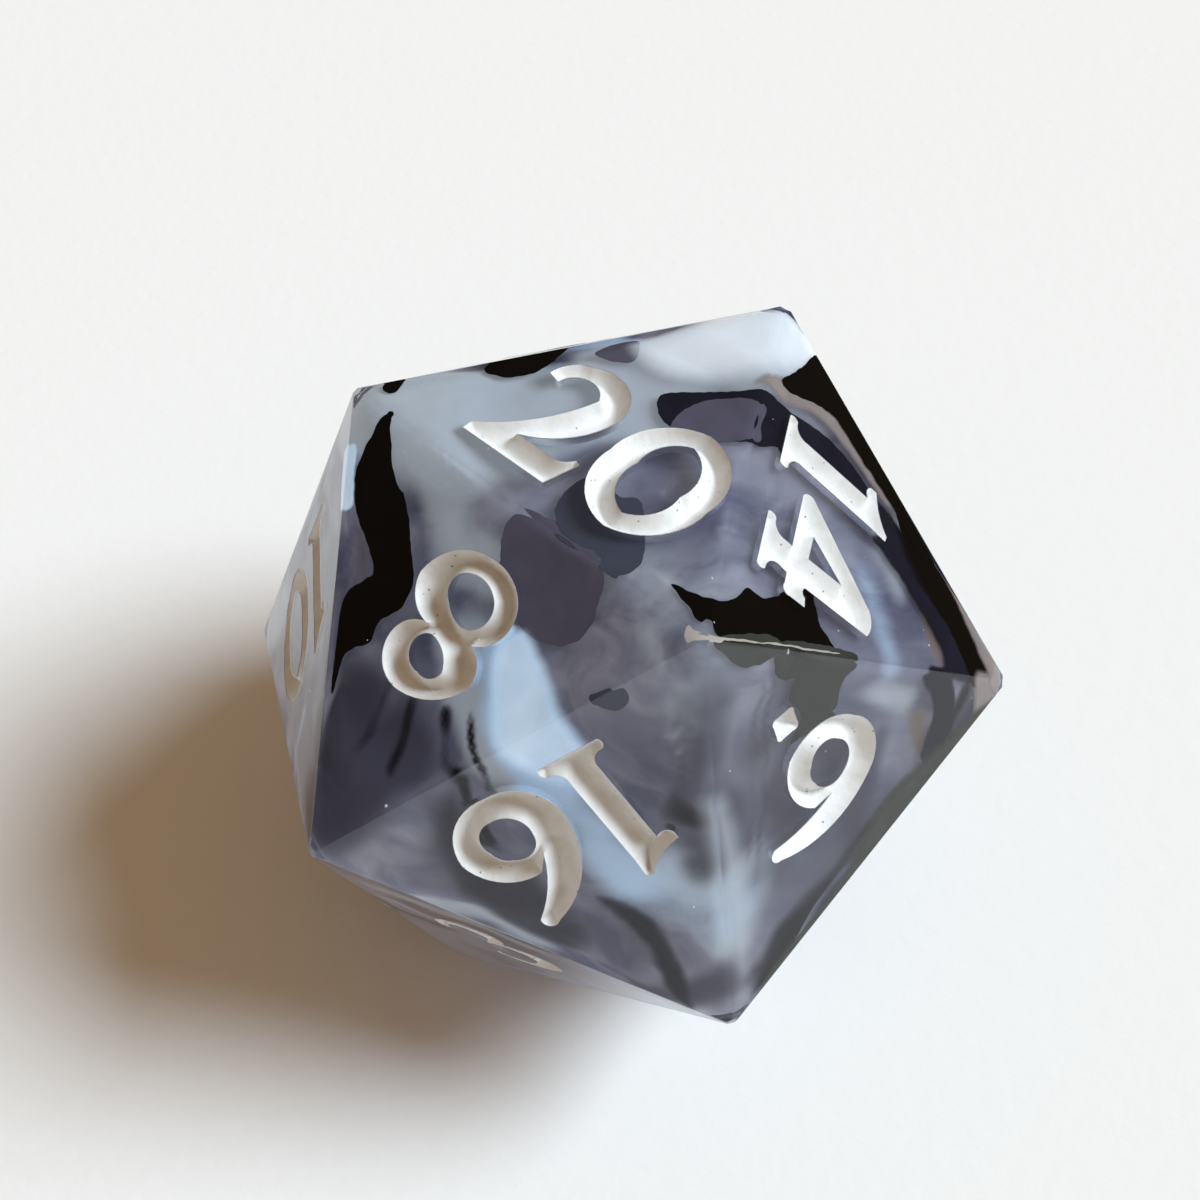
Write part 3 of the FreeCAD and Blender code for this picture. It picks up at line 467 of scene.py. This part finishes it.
def pigment_film(name, thin, thick, veil):
    """A film of pigment that skinned over before the next pour: matt, darker where it pooled, and with a painted
    glow like the smoky middle's. Its edge fades out as far as its attribute says, and a veil is see-through all
    over."""
    material, tree, output = new_material(name)
    place = millimetres(tree)
    pooled = node(tree, "ShaderNodeTexNoise", Vector=place, Scale=0.9, Detail=4.0, Roughness=0.55,
                  Distortion=0.5)
    colour = node(tree, "ShaderNodeMix", {"data_type": "RGBA"}, Factor=pooled.outputs["Fac"],
                  _6=(*thin, 1), _7=(*thick, 1))
    # Painted glow: the film gives off its own colour, tinted a little cool.
    painted_glow = node(tree, "ShaderNodeVectorMath", {"operation": "MULTIPLY"}, _0=colour.outputs[2],
                _1=PAINTED_GLOW_TINT)
    body = node(tree, "ShaderNodeBsdfPrincipled", Base_Color=colour.outputs[2], Roughness=0.8,
                Specular_IOR_Level=0.0, Emission_Color=painted_glow.outputs[0], Emission_Strength=PAINTED_GLOW)
    if not veil:
        tree.links.new(body.outputs[0], output.inputs["Surface"])
        return material
    edge = node(tree, "ShaderNodeAttribute", {"attribute_name": "cover"}).outputs["Fac"]
    uneven = node(tree, "ShaderNodeMapRange", Value=pooled.outputs["Fac"], To_Min=0.88, To_Max=1.3)
    torn = node(tree, "ShaderNodeMath", {"operation": "MULTIPLY"}, _0=uneven.outputs[0], _1=edge)
    cover = node(tree, "ShaderNodeMapRange", {"interpolation_type": "SMOOTHSTEP"}, Value=torn.outputs[0],
                 From_Min=0.02, From_Max=0.85, To_Max=veil)
    tree.links.new(cover.outputs[0], body.inputs["Alpha"])
    tree.links.new(body.outputs[0], output.inputs["Surface"])
    return material


def studio_paper(colours):
    """Matt white paper with a faint tooth."""
    material, tree, output = new_material("studio_paper")
    place = millimetres(tree)
    tooth = node(tree, "ShaderNodeTexNoise", Vector=place, Scale=1.2, Detail=6.0, Roughness=0.6)
    relief = node(tree, "ShaderNodeBump", Strength=0.25, Distance=0.08 * MM, Height=tooth.outputs["Fac"])
    sheet = node(tree, "ShaderNodeBsdfPrincipled", Base_Color=(*colours.paper, 1), Roughness=0.85,
                 Specular_IOR_Level=0.2, Normal=relief.outputs["Normal"])
    tree.links.new(sheet.outputs[0], output.inputs["Surface"])
    return material


# ---------------------------------------------------------------- shapes

def outer_skin(name, source):
    """The outer skin of a CAD node: its largest connected piece, with the facets shaded flat and the
    rounded edges between them smooth."""
    work = bmesh.new()
    work.from_mesh(source.data)
    bmesh.ops.remove_doubles(work, verts=work.verts, dist=1e-7)
    left = set(work.verts)
    skins = []
    while left:
        seed = left.pop()
        skin = {seed}
        edge_front = [seed]
        while edge_front:
            vertex = edge_front.pop()
            for edge in vertex.link_edges:
                other = edge.other_vert(vertex)
                if other in left:
                    left.remove(other)
                    skin.add(other)
                    edge_front.append(other)
        skins.append(skin)
    largest = max(skins, key=lambda skin: max(v.co.z for v in skin) - min(v.co.z for v in skin))
    bmesh.ops.delete(work, geom=[v for v in work.verts if v not in largest], context="VERTS")
    outwards = [face_frame(number).to_3x3().col[2].copy() for number in FACES]
    edge_reach = math.cos(math.radians(1.0))
    for face in work.faces:
        closeness = max(face.normal.dot(direction) for direction in outwards)
        face.smooth = face.calc_center_median().length > 0 and 0.9 < closeness < edge_reach
    mesh = bpy.data.meshes.new(name)
    work.to_mesh(mesh)
    work.free()
    return mesh


def cap_outlines(source, number, level):
    """The closed outlines of a paint node's top, in its face's frame and in millimetres."""
    to_face = face_frame(number).inverted()
    work = bmesh.new()
    work.from_mesh(source.data)
    bmesh.ops.transform(work, matrix=Matrix.Scale(1 / MM, 4) @ to_face, verts=work.verts)
    bmesh.ops.remove_doubles(work, verts=work.verts, dist=1e-4)
    top = {face for face in work.faces if all(abs(v.co.z - level) < 1e-3 for v in face.verts)}
    following = {}
    for face in top:
        for loop in face.loops:
            if sum(1 for other in loop.edge.link_faces if other in top) == 1:
                following[loop.vert] = loop.link_loop_next.vert
    outlines = []
    while following:
        start, here = following.popitem()
        outline = [start.co.xy.copy()]
        while here is not start:
            outline.append(here.co.xy.copy())
            here = following.pop(here)
        outlines.append(outline)
    work.free()
    return outlines


def evenly_spaced(outline, spacing):
    """A closed outline with points added so that none are further apart than spacing."""
    points = []
    for index, here in enumerate(outline):
        there = outline[(index + 1) % len(outline)]
        steps = max(1, math.ceil((there - here).length / spacing))
        points += [here.lerp(there, step / steps) for step in range(steps)]
    return np.array(points)


def distances(points, outlines):
    """How far each point is from the nearest outline, and whether it is inside (even-odd rule)."""
    nearest = np.full(len(points), np.inf)
    inside = np.zeros(len(points), bool)
    for outline in outlines:
        start, end = outline, np.roll(outline, -1, axis=0)
        run = end - start
        offset = points[:, None] - start[None]
        along = np.clip((offset * run).sum(-1) / np.maximum((run * run).sum(-1), 1e-12), 0, 1)
        gap = np.linalg.norm(offset - along[..., None] * run, axis=-1)
        nearest = np.minimum(nearest, gap.min(1))
        rise = np.where(np.abs(run[:, 1]) < 1e-12, 1e-12, run[:, 1])
        crosses = (start[:, 1] > points[:, 1, None]) != (end[:, 1] > points[:, 1, None])
        where = start[:, 0] + (points[:, 1, None] - start[:, 1]) * run[:, 0] / rise
        inside ^= (crosses & (points[:, 0, None] < where)).sum(1) % 2 == 1
    return nearest, inside


def channel_mesh(name, source, number, sizes):
    """Paint that lines an engraved numeral: its hollow follows the walls down to a rounded floor."""
    top = -sizes.paint_recess / MM
    outlines = [evenly_spaced(outline, 0.07) for outline in cap_outlines(source, number, top)]
    spacing = 0.075
    low = np.min([outline.min(0) for outline in outlines], axis=0)
    high = np.max([outline.max(0) for outline in outlines], axis=0)
    across, up = np.meshgrid(np.arange(low[0], high[0], spacing), np.arange(low[1], high[1], spacing))
    across[::2] += spacing / 2
    grid = np.stack([across.ravel(), up.ravel()], -1)
    gap, inside = distances(grid, outlines)
    inner = [grid[inside & (gap > 0.13)]]
    for inset in (0.02, 0.06, 0.12):
        for outline in outlines:
            run = np.roll(outline, -1, axis=0) - np.roll(outline, 1, axis=0)
            side = np.stack([-run[:, 1], run[:, 0]], -1) / np.linalg.norm(run, axis=1)[:, None]
            ring = outline + side * inset
            gap, inside = distances(ring, outlines)
            inner.append(ring[inside & (gap > 0.8 * inset)])
    inner = np.concatenate(inner)
    gap, _ = distances(inner, outlines)

    half_width = sizes.channel_half_width / MM
    sag = sizes.paint_sag / MM
    reach = np.clip(gap / half_width, 0, 1)
    depth = sag * (1 - (1 - reach) ** sizes.channel_round)

    rims = []
    edges = []
    for outline in outlines:
        first = sum(len(rim) for rim in rims)
        count = len(outline)
        edges += [(first + index, first + (index + 1) % count) for index in range(count)]
        rims.append(outline)
    rim = np.concatenate(rims)
    flat = [Vector(point) for point in np.concatenate([rim, inner])]
    places, _, triangles, origins, _, _ = delaunay_2d_cdt(flat, edges, [], 1, 1e-5)
    centres = np.array([(places[a] + places[b] + places[c]) / 3 for a, b, c in triangles])
    _, kept = distances(centres, outlines)
    triangles = [triangle for triangle, keep in zip(triangles, kept) if keep]

    brim = -sizes.rim_drop / MM
    grown = rim.copy()
    at = 0
    for outline in rims:
        run = np.roll(outline, -1, axis=0) - np.roll(outline, 1, axis=0)
        side = np.stack([-run[:, 1], run[:, 0]], -1) / np.linalg.norm(run, axis=1)[:, None]
        grown[at:at + len(outline)] = outline - side * sizes.bond / MM
        at += len(outline)
    work = bmesh.new()
    to_world = face_frame(number)
    front, back = [], []
    at_rim = {}
    for position, (place, sources) in enumerate(zip(places, origins)):
        index = sources[0]
        if index < len(rim):
            at_rim[index] = position
            spot, height, thickness = grown[index], brim, sizes.rim_thickness / MM
        else:
            wobble = noise.noise(Vector((place[0], place[1], number)) * 2.2)
            spot, height = place, brim - depth[index - len(rim)] + 0.015 * wobble
            thickness = sizes.paint_thickness / MM
        for layer, level in ((front, height), (back, height - thickness)):
            layer.append(work.verts.new(to_world @ (Vector((spot[0], spot[1], level)) * MM)))
    for a, b, c in triangles:
        work.faces.new((front[a], front[b], front[c])).smooth = True
        work.faces.new((back[c], back[b], back[a])).smooth = True
    for a, b in edges:
        a, b = at_rim[a], at_rim[b]
        work.faces.new((front[b], front[a], back[a], back[b])).smooth = True
    bmesh.ops.recalc_face_normals(work, faces=work.faces)
    work.verts.index_update()
    behind = [0.0] * len(work.verts)
    for vertex in back:
        behind[vertex.index] = 1.0
    mesh = bpy.data.meshes.new(name)
    work.to_mesh(mesh)
    work.free()
    mesh.attributes.new("behind", "FLOAT", "POINT").data.foreach_set("value", behind)
    mesh.set_sharp_from_angle(angle=math.radians(50))
    return mesh


def shell_points(directions, sizes, film_depth=None):
    """Where the smoky middle's skin lies in each direction from the die's centre, or a film that is laid
    over it. It is the die's shape made smaller, deepest under the numerals."""
    outwards = np.array([face_frame(number).to_3x3().col[2] for number in FACES])
    directions = directions / np.linalg.norm(directions, axis=1)[:, None]
    facing = np.clip(directions @ outwards.T, 0, None)
    nearness = np.clip((facing.max(1) - sizes.shallow_from) / (sizes.deep_from - sizes.shallow_from), 0, 1)
    ease = nearness * nearness * (3 - 2 * nearness)
    depth = sizes.edge_depth + (sizes.core_depth - sizes.edge_depth) * ease
    if film_depth is not None:
        share = FILM_SHARE + DEEP_FILM_SHARE * film_depth / sizes.core_depth
        depth = np.minimum(film_depth, share * depth)
    mean = (facing ** sizes.crispness).sum(1) ** (1 / sizes.crispness)
    return directions * ((HALF - depth) / mean)[:, None] + np.array(MIDDLE)


def towards(number, spots, sizes):
    """The directions from the die's centre to spots, in millimetres, on the smoky middle under a face."""
    level = -sizes.core_depth / MM
    to_world = face_frame(number)
    return np.array([to_world @ (Vector((x, y, level)) * MM) - MIDDLE for x, y in spots])


def far_side_pours():
    """More strokes, drawn at random, on the faces turned away from the viewer."""
    draw = random.Random(9)
    strokes = []
    for number in (1, 2, 4, 5, 7, 9, 11, 12, 13, 15, 17, 18, 19, 3):
        for pigment, half_width, strength in (("milk", 0.9, 0.75), ("dusk", 0.8, 0.9), ("blue", 0.5, 0.6),
                                              ("ink", 0.12, 0.7)):
            x, y = draw.uniform(-2.5, 2.5), draw.uniform(-2.5, 4)
            heading = draw.uniform(0, math.tau)
            stroke = []
            for _ in range(4):
                stroke.append((number, x, y))
                heading += draw.uniform(-0.8, 0.8)
                x += 1.5 * math.cos(heading)
                y += 1.5 * math.sin(heading)
            strokes.append((pigment, half_width * draw.uniform(0.6, 1.4), 0.7 * half_width, strength,
                            stroke))
    return strokes


def folds():
    """Thin strokes side by side, darker and paler in turn, between the first and last of each set of folds."""
    draw = random.Random(4)
    strokes = []
    for number, count, first, last in FOLDS:
        for index in range(count):
            share = (index + draw.uniform(-0.3, 0.3)) / (count - 1)
            stroke = [(number, a + (c - a) * share, b + (d - b) * share)
                      for (a, b), (c, d) in zip(first, last)]
            pigment = "dusk" if index % 2 else "milk"
            strokes.append((pigment, draw.uniform(0.03, 0.1), 0.14, draw.uniform(0.3, 0.55), stroke))
    return strokes


def poured(points, sizes):
    """How much of each pigment there is at each point, with the strokes' edges bent as liquids bend."""
    here = points / MM
    bent = here.copy()
    for scale, reach in ((0.28, 0.7), (0.9, 0.22)):
        bent += reach * np.array([noise.noise_vector(Vector(point) * scale) for point in here])
    amounts = {pigment: np.ones(len(points)) for pigment in PIGMENTS}
    for pigment, half_width, blur, strength, stroke in (*far_side_pours(), *POURS, *folds()):
        knots = np.concatenate([shell_points(towards(number, [(x, y)], sizes), sizes)
                                for number, x, y in stroke]) / MM
        nearest = np.full(len(points), np.inf)
        for start, end in zip(knots[:-1], knots[1:]):
            run = end - start
            along = np.clip(((bent - start) @ run) / max(run @ run, 1e-9), 0, 1)
            nearest = np.minimum(nearest, np.linalg.norm(bent - start - along[:, None] * run, axis=1))
        cover = np.clip((half_width + blur - nearest) / (2 * blur), 0, 1)
        amounts[pigment] *= 1 - strength * cover * cover * (3 - 2 * cover)
    return {pigment: 1 - left for pigment, left in amounts.items()}


def core_mesh(name, sizes):
    """The smoky middle of the casting, with the amount of each pigment at each point."""
    work = bmesh.new()
    bmesh.ops.create_icosphere(work, subdivisions=7, radius=1.0)
    points = shell_points(np.array([vertex.co for vertex in work.verts]), sizes)
    for vertex, point in zip(work.verts, points):
        vertex.co = point
    for face in work.faces:
        face.smooth = True
    mesh = bpy.data.meshes.new(name)
    work.to_mesh(mesh)
    work.free()
    for pigment, amount in poured(points, sizes).items():
        mesh.attributes.new(pigment, "FLOAT", "POINT").data.foreach_set("value", amount)
    return mesh


def flowing(outline, steps=6):
    """A closed curve through an outline's points."""
    knots = np.array(outline)
    before, after, beyond = (np.roll(knots, shift, axis=0) for shift in (1, -1, -2))
    points = []
    for t in np.arange(steps) / steps:
        points.append(0.5 * (2 * knots + (after - before) * t + (2 * before - 5 * knots + 4 * after - beyond)
                             * t ** 2 + (3 * knots - before - 3 * after + beyond) * t ** 3))
    return np.stack(points, 1).reshape(-1, 2)


def film_mesh(name, number, outline, depth, fade, sizes):
    """A thin closed film over the smoky middle, inside an outline drawn on a face. Its attribute rises
    from its edge inwards, over the length that it fades."""
    spacing = sizes.film_spacing / MM
    rim = evenly_spaced([Vector(point) for point in flowing(outline)], spacing / 2)
    ragged = [noise.noise(Vector((x, y, number)) * 3.5) for x, y in rim]
    rim = rim + 0.05 * np.stack([ragged, np.roll(ragged, 5)], -1)
    low, high = rim.min(0), rim.max(0)
    across, up = np.meshgrid(np.arange(low[0], high[0], spacing), np.arange(low[1], high[1], spacing))
    across[::2] += spacing / 2
    grid = np.stack([across.ravel(), up.ravel()], -1)
    gap, inside = distances(grid, [rim])
    spots = [rim, grid[inside & (gap > fade + 0.4 * spacing)]]
    run = np.roll(rim, -1, axis=0) - np.roll(rim, 1, axis=0)
    side = np.stack([-run[:, 1], run[:, 0]], -1) / np.linalg.norm(run, axis=1)[:, None]
    for inset in np.linspace(0, fade, math.ceil(fade / (0.5 * spacing)) + 1)[1:]:
        for ring in (rim + side * inset, rim - side * inset):
            gap, inside = distances(ring, [rim])
            spots.append(ring[inside & (gap > 0.9 * inset)][::2])
    spots = np.concatenate(spots)
    count = len(rim)
    edges = [(index, (index + 1) % count) for index in range(count)]
    places, _, triangles, _, _, _ = delaunay_2d_cdt([Vector(spot) for spot in spots], edges, [], 1, 1e-6)
    places = np.array(places)
    gap, _ = distances(places, [rim])
    directions = towards(number, places, sizes)
    thickness = sizes.film_thickness
    upper = shell_points(directions, sizes, depth * MM)
    inwards = np.array(MIDDLE) - upper
    lower = upper + inwards / np.linalg.norm(inwards, axis=1)[:, None] * thickness
    total = len(places)
    sides = {}
    for a, b, c in triangles:
        for pair in ((a, b), (b, c), (c, a)):
            sides[pair] = True
    faces = [tuple(triangle) for triangle in triangles]
    faces += [(c + total, b + total, a + total) for a, b, c in triangles]
    faces += [(b, a, a + total, b + total) for a, b in sides if (b, a) not in sides]
    mesh = bpy.data.meshes.new(name)
    mesh.from_pydata([tuple(point) for point in np.concatenate([upper, lower])], [], faces)
    cover = np.clip(gap / fade, 0, 1) if fade else np.ones(total)
    mesh.attributes.new("cover", "FLOAT", "POINT").data.foreach_set("value", np.tile(cover, 2))
    mesh.shade_smooth()
    mesh.set_sharp_from_angle(angle=math.radians(50))
    return mesh


def dust_mesh(name, count, sizes):
    """Specks and tiny bubbles caught just under the surface."""
    draw = random.Random(20)
    work = bmesh.new()
    for _ in range(count):
        direction = np.array([[draw.gauss(0, 1) for _ in range(3)]])
        place = Vector(shell_points(direction, sizes, draw.uniform(0.1, 0.8) * MM)[0])
        radius = draw.uniform(0.018, 0.045) * MM
        stretch = Matrix.Diagonal((draw.uniform(0.7, 1.3), draw.uniform(0.7, 1.3), 1, 1))
        bmesh.ops.create_icosphere(work, subdivisions=2, radius=radius,
                                   matrix=Matrix.Translation(place) @ stretch)
    for face in work.faces:
        face.smooth = True
    mesh = bpy.data.meshes.new(name)
    work.to_mesh(mesh)
    work.free()
    return mesh


# ---------------------------------------------------------------- settings

def colour_property(name, description, code):
    return FloatVectorProperty(name=name, description=description, subtype="COLOR", size=3, min=0, max=1,
                               default=linear(code))


def length_property(name, description, millimetres_long):
    return FloatProperty(name=name, description=description, subtype="DISTANCE", unit="LENGTH", min=0,
                         default=millimetres_long * MM)


class DieSizes(bpy.types.PropertyGroup):
    paint_recess: length_property("Paint recess", "How far the frame's paint stays below the face", 0.06)
    rim_drop: length_property("Rim drop", "How far the paint's rim stays below the face", 0.02)
    rim_thickness: length_property("Rim thickness", "Thickness of the paint at its rim", 0.035)
    paint_thickness: length_property("Paint thickness", "Thickness of the paint inside its rim", 0.07)
    paint_sag: length_property("Paint sag", "How far the paint sinks between the walls", 0.43)
    channel_half_width: length_property("Channel half width", "From a wall to the paint's floor", 0.4)
    channel_round: FloatProperty(name="Channel round", description="1 for straight walls, more for rounder "
                                 "ones", min=1, default=1.5)
    bond: length_property("Bond", "How far the paint bites into the resin that it clings to", 0.01)
    core_depth: length_property("Core depth", "How deep the smoky middle starts under a numeral", 0.85)
    edge_depth: length_property("Edge depth", "How deep the smoky middle starts near a corner", 0.3)
    film_thickness: length_property("Film thickness", "Thickness of a film of pigment", 0.03)
    film_spacing: length_property("Film spacing", "How finely a film is divided", 0.13)
    deep_from: FloatProperty(name="Deep from", description="Cosine of the angle from a face's middle where "
                             "the core is deepest", min=0, max=1, default=0.945)
    shallow_from: FloatProperty(name="Shallow from", description="Cosine of the angle from a face's middle "
                                "where the core is shallowest", min=0, max=1, default=0.88)
    crispness: FloatProperty(name="Crispness", description="How crisp the core's edges are", min=4,
                             default=90)


class DieColours(bpy.types.PropertyGroup):
    resin: colour_property("Resin", "What the clear resin lets through at its surface", "#F4F4F8")
    smoke_tint: colour_property("Smoke tint", "What the resin lets through as it gets thicker", "#A8A6BC")
    paint: colour_property("Paint", "White acrylic paint", "#ECEDED")
    paint_thin: colour_property("Thin paint", "Where the paint is a thin film", "#DEDDD9")
    # Also the colour of the painted glow on the paint's back.
    paint_back: colour_property("Back of the paint", "Where the paint clings to the resin", "#6E6F7B")
    smoke_deep: colour_property("Deep smoke", "Darker streaks of the smoky middle", "#4B4C5C")
    smoke: colour_property("Smoke", "The smoky middle's main lilac grey", "#62636F")
    haze: colour_property("Haze", "Paler streaks", "#7C7D86")
    milk: colour_property("Milk", "Milky pigment", "#9AA1A5")
    pearl: colour_property("Pearl", "Milky pigment where it is thickest", "#CDCFCC")
    blue: colour_property("Blue", "Blue-white pigment", "#A6BDCE")
    earth: colour_property("Earth", "Warm grey pigment", "#6A5F58")
    dusk: colour_property("Dusk", "Dark smoky pigment", "#3B3B46")
    ink: colour_property("Ink", "Black pigment", "#0E0F15")
    paper: colour_property("Paper", "The studio's paper", "#F2F1EE")


class DieStage(bpy.types.PropertyGroup):
    lens: FloatProperty(name="Lens", description="Focal length in millimetres", min=1, default=48.64)
    window_power: FloatProperty(name="Window", description="Strength of the window's light", min=0,
                                default=4.25)
    window_spread: FloatProperty(name="Window spread", description="How wide the window looks from the "
                                 "die", subtype="ANGLE", unit="ROTATION", default=math.radians(30))
    room_strength: FloatProperty(name="Room", description="Strength of the room's light", min=0,
                                 default=1.1)


# ---------------------------------------------------------------- operators

class DIE_OT_resin(bpy.types.Operator):
    """Cast the clear resin body"""
    bl_idname = "die.resin"
    bl_label = "Resin body"

    def execute(self, context):
        scene = context.scene
        mesh = outer_skin("cast_body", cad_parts["resin_body"])
        add_piece("cast_body", mesh, casting_resin(scene.die_colours), ["resin_body"])
        return {"FINISHED"}


class DIE_OT_core(bpy.types.Operator):
    """Add the smoky middle of the casting"""
    bl_idname = "die.core"
    bl_label = "Smoky core"

    def execute(self, context):
        scene = context.scene
        mesh = core_mesh("smoky_core", scene.die_sizes)
        add_piece("smoky_core", mesh, stirred_pigment(scene.die_colours))
        return {"FINISHED"}


class DIE_OT_films(bpy.types.Operator):
    """Lay the films of pigment and the trapped dust"""
    bl_idname = "die.films"
    bl_label = "Pigment films"

    def execute(self, context):
        scene = context.scene
        sizes = scene.die_sizes
        # Each film's material, its slot and its thin and pooled colours; the last is how far a veil covers.
        finishes = {
            "ink": ("carbon_black", "black_pigment", "#060606", "#030303", 0),
            "olive_ink": ("thin_carbon_black", "black_pigment", "#3A3D38", "#242622", 1.0),
            "navy": ("navy_black", "black_pigment", "#1B1C27", "#0D0E14", 1.0),
            "slate_haze": ("slate_haze", "black_pigment", "#3C3F49", "#2F323C", 1.0),
            "lilac_haze": ("lilac_haze", "black_pigment", "#504E5A", "#403E48", 1.0),
            "tan_haze": ("tan_haze", "white_pigment", "#8C8178", "#5F5A5C", 0.9),
            "milk": ("titanium_white", "white_pigment", "#A2A9AD", "#8E969B", 0.75),
            "pearl": ("thick_titanium_white", "white_pigment", "#CBD0D0", "#B9C0C4", 0.95),
            # A painted highlight, not pigment: the glint along an edge.
            "glint": ("painted_edge_glint", "white_pigment", "#A8A397", "#7F7A70", 0),
            "blue": ("ice_blue", "blue_pigment", "#CFE2EC", "#AEC6D8", 0.95),
        }
        materials = {}
        for key, (name, _, thin, thick, veil) in finishes.items():
            materials[key] = pigment_film(name, linear(thin), linear(thick), veil)
        extra = 0
        for source, key, number, depth, fade, outline in FILMS:
            if not source:
                extra += 1
            name = f"film_{source or f'{key}_{extra}'}"
            mesh = film_mesh(name, number, outline, depth, fade, sizes)
            add_piece(name, mesh, materials[key], [source] if source else ())
        dust = pigment_film("trapped_dust", linear("#D8DADC"), linear("#3A3A40"), 0)
        add_piece("trapped_dust", dust_mesh("trapped_dust", 90, sizes), dust)
        return {"FINISHED"}


class DIE_OT_numerals(bpy.types.Operator):
    """Wipe paint into the numerals"""
    bl_idname = "die.numerals"
    bl_label = "Painted numerals"

    def execute(self, context):
        scene = context.scene
        material = wiped_paint(scene.die_colours)
        for number in FACES:
            source = f"paint_{number:02d}"
            name = f"numeral_{number:02d}"
            mesh = channel_mesh(name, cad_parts[source], number, scene.die_sizes)
            add_piece(name, mesh, material, [source])
        return {"FINISHED"}


class DIE_OT_stage(bpy.types.Operator):
    """Set up the paper, the lights and the camera"""
    bl_idname = "die.stage"
    bl_label = "Studio"

    def execute(self, context):
        scene = context.scene
        stage = scene.die_stage
        colours = scene.die_colours
        sheet = bpy.data.meshes.new("paper")
        reach = 0.9
        sheet.from_pydata([(-reach, -reach, 0), (reach, -reach, 0), (reach, reach, 0), (-reach, reach, 0)],
                          [], [(0, 1, 2, 3)])
        sheet.materials.append(studio_paper(colours))
        floor = bpy.data.objects.new("paper", sheet)
        scene.collection.objects.link(floor)

        world = bpy.data.worlds.new("room")
        world.use_nodes = True
        background = world.node_tree.nodes["Background"]
        background.inputs["Color"].default_value = (*linear("#8B7357"), 1)
        # The gloss mirrors the dim side of the room, and behind the paper is a plain pale backdrop.
        rays = node(world.node_tree, "ShaderNodeLightPath").outputs
        room = node(world.node_tree, "ShaderNodeMapRange", Value=rays["Is Glossy Ray"],
                    To_Min=stage.room_strength, To_Max=0.25 * stage.room_strength)
        backdrop = node(world.node_tree, "ShaderNodeBackground", Color=(*colours.paper, 1), Strength=0.95)
        behind = node(world.node_tree, "ShaderNodeMixShader", Fac=rays["Is Camera Ray"],
                      _1=background.outputs[0], _2=backdrop.outputs[0])
        world.node_tree.links.new(room.outputs[0], background.inputs["Strength"])
        world.node_tree.links.new(behind.outputs[0], world.node_tree.nodes["World Output"].inputs[0])
        scene.world = world

        place_light(scene, "window", (0.5, 0.517, 0.695), stage.window_spread, stage.window_power,
                    "#E4F3FF")

        camera = bpy.data.objects.new("camera", bpy.data.cameras.new("camera"))
        scene.collection.objects.link(camera)
        forward = Vector((-0.4359, 0.4716, -0.7665)).normalized()
        upward = Vector((-0.5292, 0.5546, 0.6421))
        right = forward.cross(upward).normalized()
        upward = right.cross(forward)
        turn = Matrix((right, upward, -forward)).transposed().to_4x4()
        camera.matrix_world = Matrix.Translation(Vector((21.885, -24.197, 51.683)) * MM) @ turn
        camera.data.lens = stage.lens
        camera.data.sensor_width = 36
        camera.data.clip_start = 0.001
        scene.camera = camera
        scene.view_settings.view_transform = "Standard"
        return {"FINISHED"}


def place_light(scene, name, towards_light, spread, strength, code):
    """Soft light from a far, wide source in a direction."""
    lamp = bpy.data.lights.new(name, "SUN")
    lamp.angle = spread
    lamp.energy = strength
    lamp.color = linear(code)
    light = bpy.data.objects.new(name, lamp)
    scene.collection.objects.link(light)
    light.rotation_euler = Vector(towards_light).to_track_quat("Z", "Y").to_euler()


OPERATORS = (DIE_OT_resin, DIE_OT_core, DIE_OT_films, DIE_OT_numerals, DIE_OT_stage)


class VIEW3D_PT_die(bpy.types.Panel):
    bl_label = "Smoky resin die"
    bl_space_type = "VIEW_3D"
    bl_region_type = "UI"
    bl_category = "Die"

    def draw(self, context):
        for operator in OPERATORS:
            self.layout.operator(operator.bl_idname)
        for group in (context.scene.die_sizes, context.scene.die_colours, context.scene.die_stage):
            for name in group.bl_rna.properties.keys():
                if name not in ("rna_type", "name"):
                    self.layout.prop(group, name)


GROUPS = {"die_sizes": DieSizes, "die_colours": DieColours, "die_stage": DieStage}


def register():
    for group in GROUPS.values():
        bpy.utils.register_class(group)
    for name, group in GROUPS.items():
        setattr(bpy.types.Scene, name, PointerProperty(type=group))
    for operator in OPERATORS:
        bpy.utils.register_class(operator)
    bpy.utils.register_class(VIEW3D_PT_die)


def unregister():
    bpy.utils.unregister_class(VIEW3D_PT_die)
    for operator in reversed(OPERATORS):
        bpy.utils.unregister_class(operator)
    for name, group in GROUPS.items():
        delattr(bpy.types.Scene, name)
        bpy.utils.unregister_class(group)


def main():
    register()
    for name in ("resin", "core", "films", "numerals", "stage"):
        getattr(bpy.ops.die, name)()


if __name__ == "__main__":
    main()
